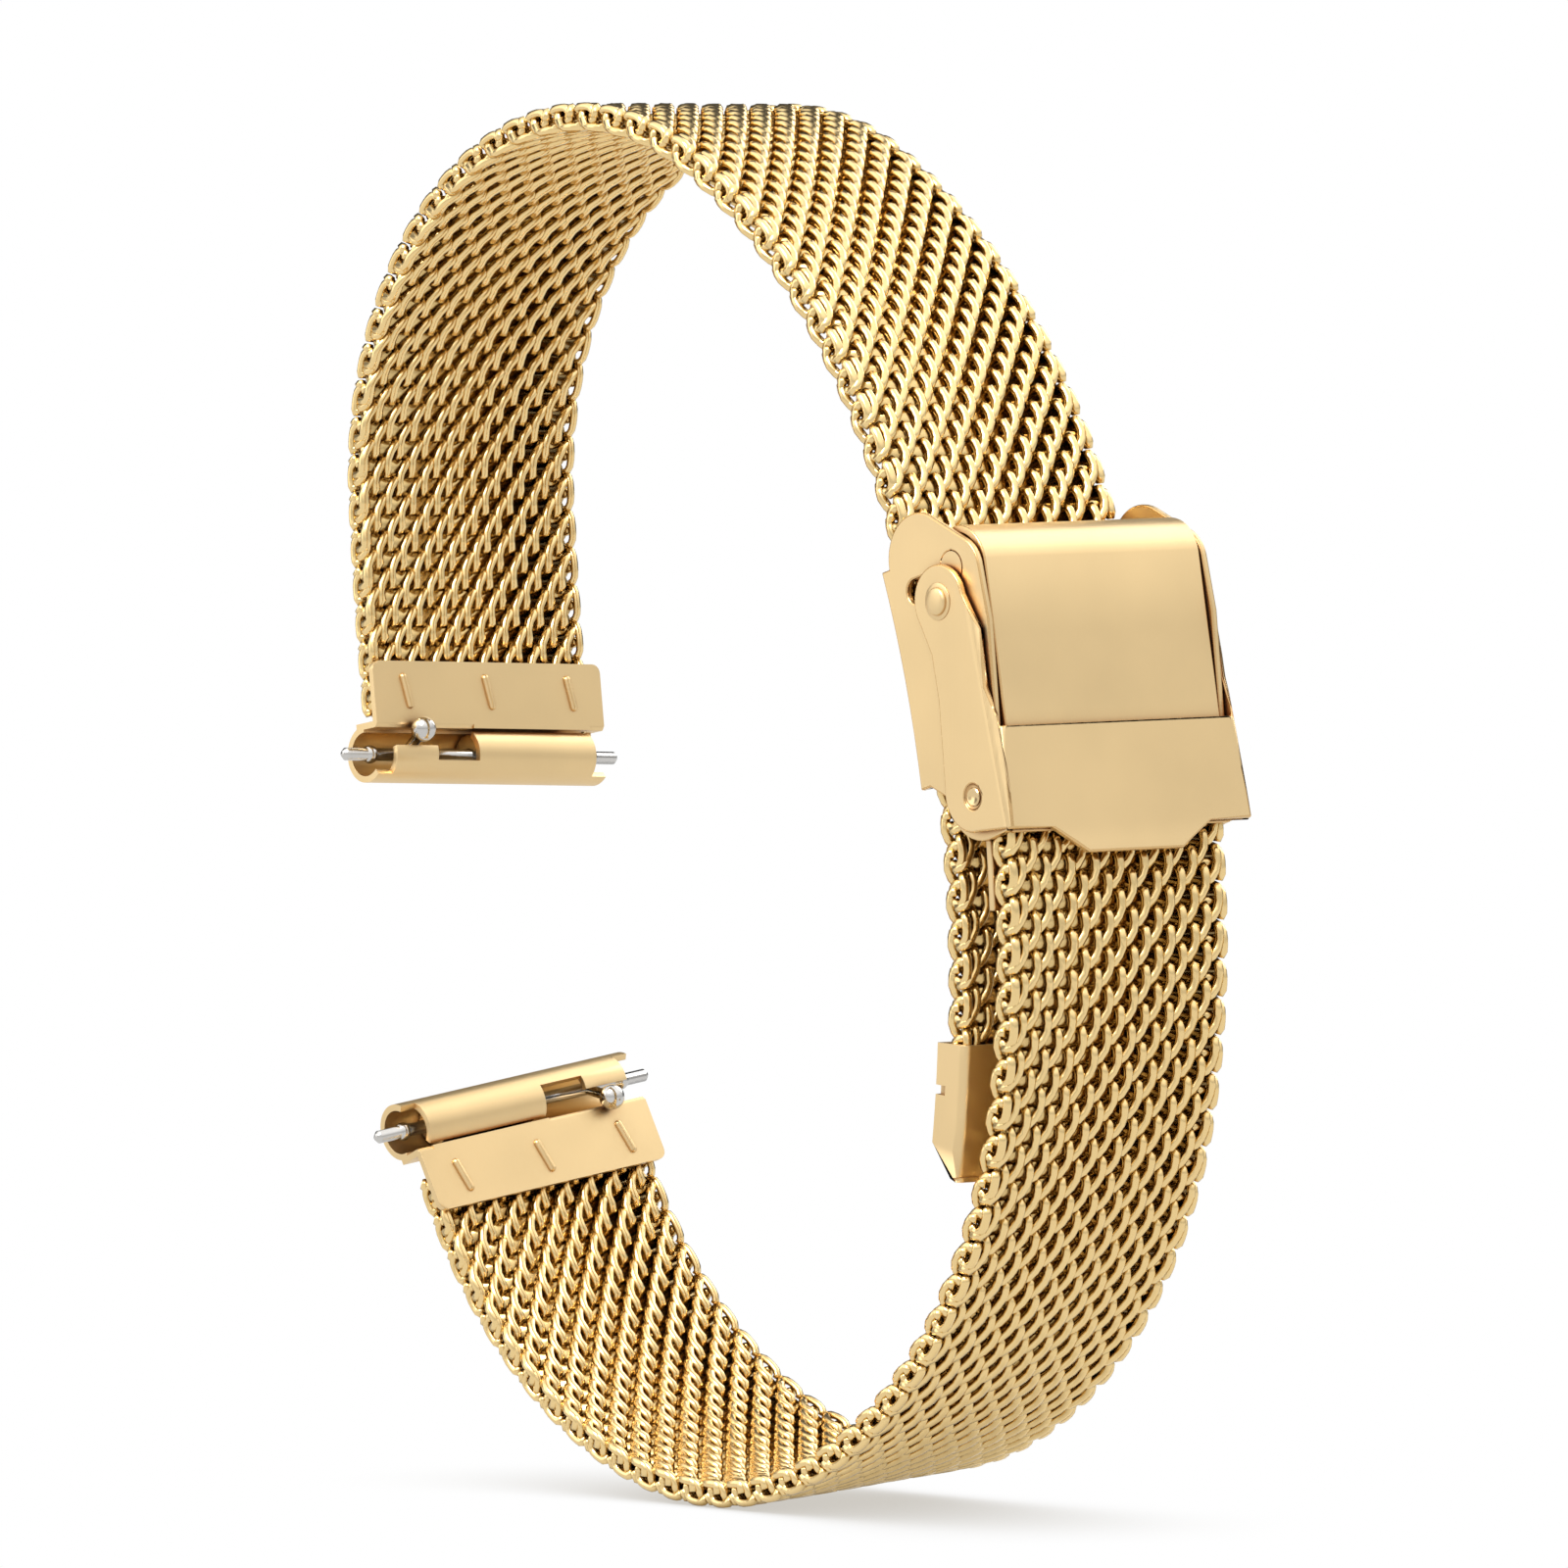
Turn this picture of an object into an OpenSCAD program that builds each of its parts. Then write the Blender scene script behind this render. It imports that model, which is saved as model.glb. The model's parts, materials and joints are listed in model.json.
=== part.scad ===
// Mesh watch band lying open as it would round a wrist: two woven metal straps, a fold over clasp that slides
// along the longer strap, and a quick release spring bar rolled into each end.
// X points out of the clasp, Y runs along the bars, Z points up. The origin is midway between the two bars.

/* [Straps] */
// Width of the woven strap
mesh_w = 15; // [12:0.5:22]
// Thickness of the woven strap
mesh_t = 1.7; // [1:0.1:2.4]
// Set in of the outermost crests from the strap's edges
mesh_edge = 0.6; // [0.3:0.05:0.9]
// Step from one row of the weave to the next
mesh_step = 1.02; // [0.8:0.01:2]
// Step from one crest to the next in a row
crest_step = 1.7; // [1.4:0.05:2.4]
// Depth of the hollows between the crests
weave_depth = 0.55; // [0.1:0.05:0.6]
// Depth of the notches between the loops on the edges
loop_depth = 0.35; // [0.1:0.05:0.5]
// Lean of the clasp from the vertical
tilt = 15.6; // [0:0.1:30]
// Radius of the strap where the clasp slides
tail_r = 62; // [40:1:90]
// Length of the strap below the clasp
tail_len = 24.9; // [20:0.1:35]
// Twist of the upper strap at its bar
upper_roll = -2.65; // [-8:0.05:8]
// Twist of the lower strap at its bar
lower_roll = 7.9; // [-8:0.05:10]
// Lean of the hooked strap inside the clasp
lower_lean = 4.4; // [0:0.1:10]
// Top of the hooked strap, outward from the slider
lower_x = 4.62; // [3:0.01:6]
// Top of the hooked strap, up from the slider's middle
lower_z = 3.0; // [0:0.1:4]

/* [End caps] */
// Width of the caps between the watch lugs
lug_w = 16; // [13:1:24]
// Sheet of the caps
cap_sheet = 0.35; // [0.25:0.05:0.5]
// Outer radius of the rolled tube
roll_r = 1.55; // [1.2:0.05:2]
// Length of the tab on the wrist side
tab_len = 3.3; // [2:0.1:5]
// Length of the release window
window_len = 2.9; // [2.4:0.1:4]
// How far the lip is cut low from the release end
slot_len = 6.8; // [6:0.1:7.5]
// Set back of the lip from each end of the tube
lip_back = 1.0; // [0.2:0.1:1.6]
// Length and radius of the ridges pressed in the tab
ridge = [2.0, 0.22];

/* [Spring bars] */
// Radius of the barrel
barrel_r = 0.75; // [0.65:0.05:0.9]
// Radius of the bore that holds the spring
bore_r = 0.57; // [0.5:0.01:0.7]
// Radius of the tips that enter the watch
tip_r = 0.35; // [0.3:0.05:0.5]
// Reach of each tip past the cap
tip_out = 1.6; // [0.8:0.1:2]
// Release knob from the cap's end
knob_in = 2.7; // [2.5:0.1:5]
// Radius of the release knob
knob_r = 0.7; // [0.4:0.05:0.8]
// Middle of the release knob from the bar's axis
knob_up = 2.2; // [2:0.05:2.5]
// Turn of the release knob about its bar
knob_turn = 212; // [200:1:220]

/* [Clasp frame] */
// Sheet of the clasp's side walls
wall_t = 0.4; // [0.3:0.05:0.6]
// Bottom of the side walls
wall_low = -6.4; // [-8:0.1:-5]
// Top of the walls behind the ears
wall_high = 6.3; // [5:0.1:8]
// Front of the walls at the middle
wall_front = 6.1; // [5.6:0.05:7]
// Middle of the ear
ear_at = [1.4, 6.2];
// Radius of the ear
ear_r = 2.55; // [2:0.05:3]
// Middle of the hook bar
bar_at = [3.9, 5.25];
// Radius of the hook bar
bar_r = 0.85; // [0.6:0.05:1]
// Middle of the wall's shoulder round the hook bar
shoulder_at = [4.15, 4.9];
// Radius of the wall's shoulder
shoulder_r = 1.95; // [1.6:0.05:2.4]
// Middle of the catch rivets
rivet_at = [2.92, 3.62];
// Radius of the rivet shanks
rivet_r = 0.5; // [0.4:0.05:0.7]
// Middle of the lock plate's pin
lock_at = [1.6, 4.7];
// Radius of the lock plate's pin
lock_r = 0.6; // [0.4:0.05:0.7]

/* [Catch and hook] */
// Sheet of the catch and its arms
catch_t = 0.4; // [0.3:0.05:0.6]
// Radius of the arms round the rivets
arm_r = 1.97; // [1.6:0.01:2.4]
// Middle of the arms' rounded foot
foot_at = [2.9, -6.7];
// Radius of the arms' rounded foot
foot_r = 2.2; // [1.8:0.05:2.6]
// Outer face of the catch at its top and bottom
band_x = [5.8, 5.5];
// Top and bottom of the catch's band
band_z = [-3.8, -9.3];
// Half width of the thumb tongue at its root and tip
tongue_y = [5.6, 3.8];
// Length of the thumb tongue
tongue_len = 1.45; // [1:0.05:2.5]
// Sheet of the hook plate
hook_t = 0.45; // [0.3:0.05:0.6]
// Outer radius of the hook
hook_r = 2.2; // [1.8:0.05:2.4]
// Angle the hook wraps past its outermost point
hook_wrap = 80; // [70:1:110]

/* [Tail tip] */
// Sheet of the tail tip
tip_sheet = 0.25; // [0.2:0.05:0.4]
// Length of the tail tip along the strap's edge
tip_len = 7.2; // [5:0.1:12]
// Reach of the tail tip past the strap's end
tip_past = 1.7; // [0.4:0.05:2]
// Height of the lip at the end of the tail tip
tip_lip = 0.15; // [0:0.05:0.3]

/* [Output] */
// Piece to draw

/* [Hidden] */
$fn = 72;
fit = 0.05;
deep = 40;
half_w = mesh_w / 2;
half_t = mesh_t / 2;
half_lug = lug_w / 2;
wall_in = half_w + 0.1;
wall_out = wall_in + wall_t;
arm_in = wall_out + 0.1;
arm_out = arm_in + catch_t;
mesh_gap = 0.15;

// Runs of the straps from the clasp to the bars, each a length and a bend
upper_roll_from = 9;
lower_roll_from = 17;
upper_runs = [[upper_roll_from, 1 / tail_r], [12, 1 / 39.1], [14, 1 / 37.2], [41, 1 / 19], [9, 1 / 138],
    [5.2, 0]];
tail_runs = [[tail_len, -1 / tail_r]];
// The hooked strap lies along the tail to its end, and closes in on it on the way
lower_runs = [[7, 0], [tail_len - 14.9, -1 / (tail_r + 2)], [10, -1 / tail_r - 1 / 111], [27, -1 / 27.5],
    [16, -1 / 22.3], [19.3, -1 / 23.2], [5.2, 0]];

function span(runs, i = 0) = i == len(runs) ? 0 : runs[i][0] + span(runs, i + 1);
function turned(runs, s, i = 0) = i == len(runs) || s <= 0 ? 0
    : runs[i][1] * min(s, runs[i][0]) * 180 / PI + turned(runs, s - runs[i][0], i + 1);
function along(a, r) = [cos(a), -sin(a) * sin(r), sin(a) * cos(r)];
function rib(r) = [0, cos(r), sin(r)];
function roll_at(s, roll, from, till) = roll * max(0, min(s, till) - from) / max(till - from, 1);
function last(v) = v[len(v) - 1];
// Each row holds a point of the strap's middle, its ways along, across and outward, and how far along it is
function walk(start, a0, runs, roll, from, out, cut) =
    let (whole = span(runs), till = whole - last(runs)[0])
    let (n = ceil((whole - cut) / mesh_step), h = (whole - cut) / n)
    [for (i = 0, p = start; i <= n;
        p = p + h * along(a0 + turned(runs, (i + 0.5) * h), roll_at((i + 0.5) * h, roll, from, till)),
        i = i + 1)
        let (r = roll_at(i * h, roll, from, till), t = along(a0 + turned(runs, i * h), r))
        [p, t, rib(r), out * cross(rib(r), t), i * h]];
x_hat = [cos(tilt), 0, sin(tilt)];
z_hat = [-sin(tilt), 0, cos(tilt)];
// Set back of the mesh's end from the bar, and the three walks that stop there
end_gap = roll_r + 0.15;
upper_way = walk([0, 0, 0], 90 + tilt, upper_runs, upper_roll, upper_roll_from, 1, end_gap);
tail_way = walk([0, 0, 0], tilt - 90, tail_runs, 0, 0, -1, 0);
lower_way = walk(lower_x * x_hat + lower_z * z_hat, tilt - 90 - lower_lean, lower_runs, lower_roll,
    lower_roll_from, -1, end_gap);
// Frame of each bar: the strap is straight there, so the bar lies straight past the mesh's end
upper_bar = [last(upper_way)[0] + end_gap * last(upper_way)[1], last(upper_way)[1], last(upper_way)[3]];
lower_bar = [last(lower_way)[0] + end_gap * last(lower_way)[1], last(lower_way)[1], last(lower_way)[3]];
middle = (upper_bar[0] + lower_bar[0]) / 2;

// Moves into the row's frame, the clasp's own frame, and a bar's own frame
module placed() translate(-middle) children();
module at_clasp() placed() rotate([0, -tilt, 0]) children();
module at_bar(b) {
    y = cross(b[1], b[2]);
    placed() multmatrix([[b[2].x, y.x, b[1].x, b[0].x], [b[2].y, y.y, b[1].y, b[0].y],
        [b[2].z, y.z, b[1].z, b[0].z], [0, 0, 0, 1]]) children();
}
// A flat outline drawn in X and Z, made solid between two places along Y
module slab(y0, y1) translate([0, y1, 0]) rotate([90, 0, 0]) linear_extrude(y1 - y0) children();
module both_sides() { children(); mirror([0, 1, 0]) children(); }
module rod(r, y0, y1) translate([0, y1, 0]) rotate([90, 0, 0]) cylinder(h = y1 - y0, r = r);
// Turn about the strap's arc, in degrees, that a length along it makes
function arc_turn(length) = length * 180 / PI / tail_r;
// Part of a flat ring between two angles less than a half turn apart
module ring_part(r_out, r_in, a0, a1) {
    far = 2 * r_out;
    mid = (a0 + a1) / 2;
    intersection() {
        difference() { circle(r_out, $fn = 360); circle(r_in, $fn = 360); }
        polygon([[0, 0], far * [cos(a0), sin(a0)], far * [cos(mid), sin(mid)] * 1.5,
            far * [cos(a1), sin(a1)]]);
    }
}
module on_arc() translate([-tail_r, 0]) children();
module disc(at, r) translate(at) circle(r);

// Outline of one row, across and outward: its crests stand beside the hollows of the rows next to it
function row_outline(row) =
    let (w = half_w - mesh_edge, m = round(2 * w / crest_step), odd = row % 2)
    let (rise = [for (j = [-m:m]) half_t - ((row + j) % 2 == 0 ? 0 : weave_depth)])
    let (side = half_w - odd * loop_depth, flank = 0.45 * half_t)
    concat([for (j = [m:-1:-m]) [j * w / m, rise[m + j]]], [[-side, flank], [-side, -flank]],
        [for (j = [-m:m]) [j * w / m, -rise[m + j]]], [[side, -flank], [side, flank]]);
function ring(f, row) = [for (p = row_outline(row)) f[0] + p.x * f[2] + p.y * f[3]];
module loft(rings) {
    m = len(rings[0]);
    n = len(rings);
    polyhedron(points = [for (r = rings) each r], faces = concat([[for (j = [0:m - 1]) j]],
        [[for (j = [m - 1:-1:0]) (n - 1) * m + j]],
        [for (i = [0:n - 2], j = [0:m - 1]) let (a = i * m + j, b = i * m + (j + 1) % m) each
            [[a, a + m, b + m], [a, b + m, b]]]), convexity = 6);
}
// The longer strap: from its bar over the back of the clasp and on into the tail tip
module upper_mesh() color([0.85, 0.7, 0.35]) placed() loft(concat([for (i = [len(upper_way) - 1:-1:1])
    ring(upper_way[i], i)], [for (i = [0:len(tail_way) - 1]) ring(tail_way[i], i)]));
// The hooked strap: from the clasp round the wrist to its own bar
module lower_mesh() color([0.85, 0.7, 0.35]) placed()
    loft([for (i = [0:len(lower_way) - 1]) ring(lower_way[i], i)]);

// A folded shoe closed round the strap's free end
module tail_tip() {
    end = -arc_turn(tail_len);
    low = end - arc_turn(tip_past);
    high = low + arc_turn(tip_len);
    face = half_t + tip_sheet;
    seat = 0.01;
    notch = [0.75, 0.5];
    notch_up = 4.4;
    bevel = [2 * face, tip_past];
    color([0.8, 0.66, 0.4]) at_clasp() difference() {
        slab(-half_w - wall_t, half_w + wall_t) on_arc() {
            ring_part(tail_r + face, tail_r - face, low, high);
            ring_part(tail_r + face + tip_lip, tail_r, low, low + arc_turn(tip_sheet));
        }
        slab(-half_w, half_w) on_arc()
            ring_part(tail_r + half_t + seat, tail_r - half_t - seat, end, high + 1);
        both_sides() slab(half_w + fit, deep) on_arc() rotate(low + arc_turn(notch_up))
            translate([tail_r - face - 1, 0]) square([1 + notch.x, notch.y]);
        // The corner away from the other strap is cut aslant
        slab(-deep, deep) on_arc() rotate(low) translate([tail_r - face, 0])
            polygon([[-1, -1], [bevel.x, -1], [bevel.x, 0], [0, bevel.y], [-1, bevel.y]]);
    }
}

// Rolled sheet cap: a tab on the wrist side, a wall across the strap's end and a tube with a free lip
module cap() {
    wall_z = -end_gap;
    tab_x = -half_t - cap_sheet;
    lip = 230;
    low_lip = 192;
    sill = 162;
    back_lip = 130;
    slot_end = slot_len - half_lug;
    module lip_cut(y0, y1, from) slab(y0, y1) ring_part(2 * roll_r, roll_r - cap_sheet - fit, from, lip + 3);
    difference() {
        union() {
            slab(-half_lug, half_lug) {
                ring_part(roll_r, roll_r - cap_sheet, -90, 60);
                ring_part(roll_r, roll_r - cap_sheet, 59, lip);
                translate([tab_x, wall_z]) square([half_t + cap_sheet + 0.6, cap_sheet]);
                translate([tab_x, wall_z - tab_len]) square([cap_sheet, tab_len + cap_sheet]);
            }
            // Three ridges pressed in the tab, each leaning a little
            for (k = [-1:1]) translate([tab_x, k * 0.36 * lug_w, wall_z - tab_len / 2]) rotate([-13, 0, 0]) {
                straight = ridge[0] - 2 * ridge[1];
                cylinder(h = straight, r = ridge[1], center = true);
                for (s = [-1, 1]) translate([0, 0, s * straight / 2]) sphere(ridge[1]);
            }
        }
        lip_cut(-half_lug - 1, slot_end, low_lip);
        lip_cut(slot_end - window_len, slot_end, sill);
        both_sides() lip_cut(half_lug - lip_back, half_lug + 1, back_lip);
    }
}
module upper_cap() color([0.85, 0.72, 0.42]) at_bar(upper_bar) cap();
module lower_cap() color([0.85, 0.72, 0.42]) at_bar(lower_bar) cap();

// The barrel lies in the closed part of the rolled tube
barrel_y = [slot_len - half_lug + 0.4, half_lug - lip_back - 1.4];
stop_wall = 0.12;
knob_y = knob_in - half_lug;
plug_y = [barrel_y[0] + stop_wall, barrel_y[0] + stop_wall + 1];
fixed_in = barrel_y[1] - 1.5;
// Hollow barrel with two collars that fill the tube
module barrel() {
    collar_r = roll_r - cap_sheet - fit;
    collar = 0.8;
    difference() {
        union() {
            rod(barrel_r, barrel_y[0], barrel_y[1]);
            for (y = [barrel_y[0], barrel_y[1] - collar]) rod(collar_r, y, y + collar);
        }
        rod(bore_r, plug_y[0], deep);
        rod(tip_r + fit, -deep, plug_y[1]);
    }
}
module upper_barrel() color([0.75, 0.75, 0.76]) at_bar(upper_bar) barrel();
module lower_barrel() color([0.75, 0.75, 0.76]) at_bar(lower_bar) barrel();
tip_end = half_lug + tip_out;
tip_cone = 0.2;
// Slim end that enters the watch, from one place along Y outward, with a round shoulder that stops at the lug
module tip_pin(from) {
    shoulder = 0.5;
    rod(tip_r, from, tip_end - tip_cone);
    translate([0, half_lug - 0.3, 0]) sphere(shoulder);
    translate([0, tip_end - tip_cone, 0]) rotate([-90, 0, 0])
        cylinder(h = tip_cone, r1 = tip_r, r2 = tip_r / 2);
}
module fixed_tip() {
    rod(bore_r, fixed_in, barrel_y[1]);
    tip_pin(barrel_y[1]);
}
module upper_fixed_tip() color([0.8, 0.8, 0.8]) at_bar(upper_bar) fixed_tip();
module lower_fixed_tip() color([0.8, 0.8, 0.8]) at_bar(lower_bar) fixed_tip();
// The other tip slides in the bore and carries the release knob on a stem
module release_tip() {
    stem_r = 0.3;
    mirror([0, 1, 0]) tip_pin(-plug_y[0]);
    rod(bore_r - fit, plug_y[0], plug_y[1]);
    translate([0, knob_y, 0]) rotate([0, 90 - knob_turn, 0]) {
        cylinder(h = knob_up, r = stem_r);
        translate([0, 0, knob_up]) sphere(knob_r);
    }
}
module upper_release_tip() color([0.82, 0.82, 0.83]) at_bar(upper_bar) release_tip();
module lower_release_tip() color([0.82, 0.82, 0.83]) at_bar(lower_bar) release_tip();
// Coil pushed between the two tips
wire_r = 0.07;
coil_r = bore_r - wire_r - 0.04;
turns = 6;
per_turn = 8;
coil_from = plug_y[1] + wire_r + 0.01;
coil_rise = fixed_in - wire_r - 0.01 - coil_from;
function coil_point(i) = let (a = -i * 360 / per_turn)
    [coil_r * cos(a), coil_from + coil_rise * i / (turns * per_turn), coil_r * sin(a)];
coil_gap = min([for (i = [0:per_turn], j = [i + per_turn / 2:i + 2 * per_turn])
    norm(coil_point(i) - coil_point(j))]) - 2 * wire_r;
echo(least_gap_of_the_coil = coil_gap);
module coil() {
    sides = 6;
    loft([for (i = [0:turns * per_turn]) let (c = coil_point(i), o = [c.x, 0, c.z] / coil_r)
        [for (j = [0:sides - 1]) let (b = -j * 360 / sides)
            c + wire_r * cos(b) * o + [0, wire_r * sin(b), 0]]]);
}
module upper_spring() color([0.6, 0.6, 0.62]) at_bar(upper_bar) coil();
module lower_spring() color([0.6, 0.6, 0.62]) at_bar(lower_bar) coil();

// Side wall of the clasp: ear, shoulder round the hook bar, straight front and a cut lower back corner
module wall_outline() difference() {
    slope = 50;
    reach = [cos(slope), sin(slope)];
    union() {
        disc(ear_at, ear_r);
        disc(shoulder_at, shoulder_r);
        polygon([ear_at, ear_at + ear_r * reach, shoulder_at + shoulder_r * reach, shoulder_at]);
        polygon([[-2, wall_high], [ear_at.x, wall_high], shoulder_at, shoulder_at + [shoulder_r, 0],
            [wall_front, 1.9], [wall_front - 0.9, -3.8], [wall_front - 1.15, wall_low], [0.2, wall_low], [-0.9, wall_low + 0.8],
            [-2, wall_low + 0.8]]);
    }
    on_arc() circle(tail_r - half_t - mesh_gap - hook_t, $fn = 360);
    disc(bar_at, bar_r);
    disc(rivet_at, rivet_r);
    slot = lock_r + fit;
    disc(lock_at, slot);
    translate([lock_at.x - 0.95, lock_at.y - slot]) square([0.95, 2 * slot]);
    disc(lock_at - [0.95, 0], slot);
}
module clasp_frame() color([0.88, 0.76, 0.5]) at_clasp() {
    back = tail_r - half_t - mesh_gap;
    both_sides() slab(wall_in, wall_out) wall_outline();
    slab(-wall_in, wall_in) on_arc()
        ring_part(back, back - hook_t, arc_turn(wall_low + 0.8), arc_turn(wall_high + 0.1));
}
module hook_bar() color([0.8, 0.68, 0.42]) at_clasp() slab(-wall_out, wall_out) disc(bar_at, bar_r);
// Plate that bears on the strap and locks the slider, round its pin
module lock_plate() color([0.8, 0.68, 0.42]) at_clasp() slab(-half_w, half_w) difference() {
    face = tail_r + half_t + mesh_gap;
    union() {
        on_arc() ring_part(face + catch_t, face, -arc_turn(5), arc_turn(lock_at.y - 0.5));
        disc(lock_at, lock_r + 0.25);
    }
    disc(lock_at, lock_r);
}
module lock_pin() color([0.75, 0.63, 0.4]) at_clasp() slab(-wall_out, wall_out) disc(lock_at, lock_r);
// Rivet that carries one arm of the catch
module rivet() {
    head = [1.1, 0.85, 0.12];
    translate([rivet_at.x, wall_in, rivet_at.y]) rotate([-90, 0, 0]) {
        cylinder(h = arm_out - wall_in + fit, r = rivet_r);
        translate([0, 0, arm_out - wall_in + fit]) {
            cylinder(h = head[2], r = head[0]);
            translate([0, 0, head[2]]) intersection() {
                cylinder(h = 1, r = head[1]);
                translate([0, 0, -head[1] * 1.4]) sphere(head[1] * 1.72);
            }
        }
    }
}
module rivet_left() color([0.9, 0.78, 0.5]) at_clasp() mirror([0, 1, 0]) rivet();
module rivet_right() color([0.9, 0.78, 0.5]) at_clasp() rivet();

// Catch: two arms on the rivets, a band across the front and a thumb tongue under it
module catch() color([0.88, 0.76, 0.5]) at_clasp() {
    front = band_x[0] - 0.15;
    inner = [band_x[0] - catch_t, band_x[1] - catch_t];
    round_r = 0.8;
    intersection() {
        union() {
            both_sides() difference() {
                slab(arm_in, arm_out) difference() {
                    union() {
                        disc(rivet_at, arm_r);
                        disc(foot_at, foot_r);
                        polygon([rivet_at + [-arm_r * 0.9, -0.9], [1.62, 1], [1.55, -1.4],
                            foot_at - [foot_r, 0], foot_at - [0, foot_r], [band_x[1], band_z[1]],
                            [band_x[0], band_z[0]], [band_x[0] - 0.44, -1.6], [front, 1.5],
                            rivet_at + [arm_r, 0], rivet_at]);
                    }
                    disc(rivet_at, rivet_r + fit);
                }
                // Pressed dimple near the foot of each arm
                slab(arm_out - catch_t / 3, deep) disc([rivet_at.x, -7], 0.68);
            }
            slab(-arm_out, arm_out) polygon([[band_x[0], band_z[0]], [band_x[1], band_z[1]],
                [inner[1], band_z[1]], [inner[0], band_z[0]]]);
        }
        // Rounds the two upright corners between the arms and the band
        translate([0, 0, -deep / 2]) linear_extrude(deep) {
            translate([-deep, -arm_out]) square([deep + band_x[0] - round_r, 2 * arm_out]);
            translate([0, round_r - arm_out]) square([deep, 2 * (arm_out - round_r)]);
            for (s = [-1, 1]) translate([band_x[0] - round_r, s * (arm_out - round_r)]) circle(round_r);
        }
    }
    ease = 0.5;
    translate([inner[1], 0, band_z[1]]) rotate([0, 90, 0]) linear_extrude(catch_t) polygon([[0, -tongue_y[0]],
        [tongue_len - ease, -tongue_y[1] - ease / 2], [tongue_len, ease - tongue_y[1]],
        [tongue_len, tongue_y[1] - ease], [tongue_len - ease, tongue_y[1] + ease / 2], [0, tongue_y[0]]]);
}

// A point of the hooked strap's face in the clasp's own X and Z
function face_point(f, off) = let (p = f[0] + off * f[3]) [p * x_hat, p * z_hat];
hook_len = 12.6;
clamp_len = 17;
hooked = [for (f = lower_way) if (f[4] < hook_len) f];
clamped = [for (f = lower_way) if (f[4] < clamp_len) f];
function backward(v) = [for (i = [len(v) - 1:-1:0]) v[i]];
// Plate welded on the strap's outer face, curled over the hook bar with its end folded back under
module hook_plate() color([0.86, 0.74, 0.48]) at_clasp() {
    slit = hook_r - bar_r - fit - 2 * hook_t;
    outer = [for (f = hooked) face_point(f, half_t + hook_t)];
    inner = [for (f = hooked) face_point(f, half_t)];
    join = 0.02;
    slab(-half_w, half_w) {
        polygon(concat(inner, backward(outer), [bar_at + [hook_r, 0], bar_at + [hook_r - hook_t, 0]]));
        translate(bar_at) {
            ring_part(hook_r, hook_r - hook_t, -1, hook_wrap);
            ring_part(hook_r - hook_t - slit, bar_r + fit, 5, hook_wrap);
            rotate(hook_wrap) translate([(hook_r + bar_r + fit) / 2, 0])
                intersection() {
                    difference() { circle((hook_r - bar_r - fit) / 2); circle(slit / 2); }
                    translate([-deep, -join]) square(2 * deep);
                }
        }
    }
}
// Plate under the strap with a rounded cheek each side that closes the bracket
module clamp_plate() color([0.86, 0.74, 0.48]) at_clasp() {
    cheek_top = -6.85;
    clear = 0.3;
    front = [band_x[0] - catch_t - clear, band_x[1] - catch_t - clear];
    front_at_top = front[0] + (front[1] - front[0]) * (cheek_top - band_z[0]) / (band_z[1] - band_z[0]);
    slab(-half_w, half_w) polygon(concat([for (f = clamped) face_point(f, -half_t)],
        backward([for (f = clamped) face_point(f, -half_t - hook_t)])));
    both_sides() slab(half_w, half_w + wall_t + fit) intersection() {
        union() {
            disc(foot_at, foot_r + 0.45);
            polygon([foot_at, foot_at - [0, foot_r + 0.45], [band_x[1] - 0.65, band_z[1] + 0.1],
                [band_x[0] - 0.55, cheek_top]]);
        }
        polygon([[-deep, cheek_top], [front_at_top, cheek_top], [front[1], band_z[1]],
            [front[1], -deep], [-deep, -deep]]);
    }
}

upper_mesh();
lower_mesh();
tail_tip();
upper_cap();
lower_cap();
upper_barrel();
lower_barrel();
upper_fixed_tip();
lower_fixed_tip();
upper_release_tip();
lower_release_tip();
upper_spring();
lower_spring();
clasp_frame();
hook_bar();
lock_plate();
lock_pin();
rivet_left();
rivet_right();
catch();
hook_plate();
clamp_plate();
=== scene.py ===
"""Mesh watch band: two woven straps, a sliding fold over clasp and a quick release spring bar in each end.

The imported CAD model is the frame. This file dresses it: it weaves both straps from wire, softens the edges
of the pressed sheet pieces, gives every piece its finish and sets up the stage and the camera.
"""
import json
import math
from contextlib import contextmanager

import bmesh
import bpy
import numpy as np
from mathutils import Matrix, Vector


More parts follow.
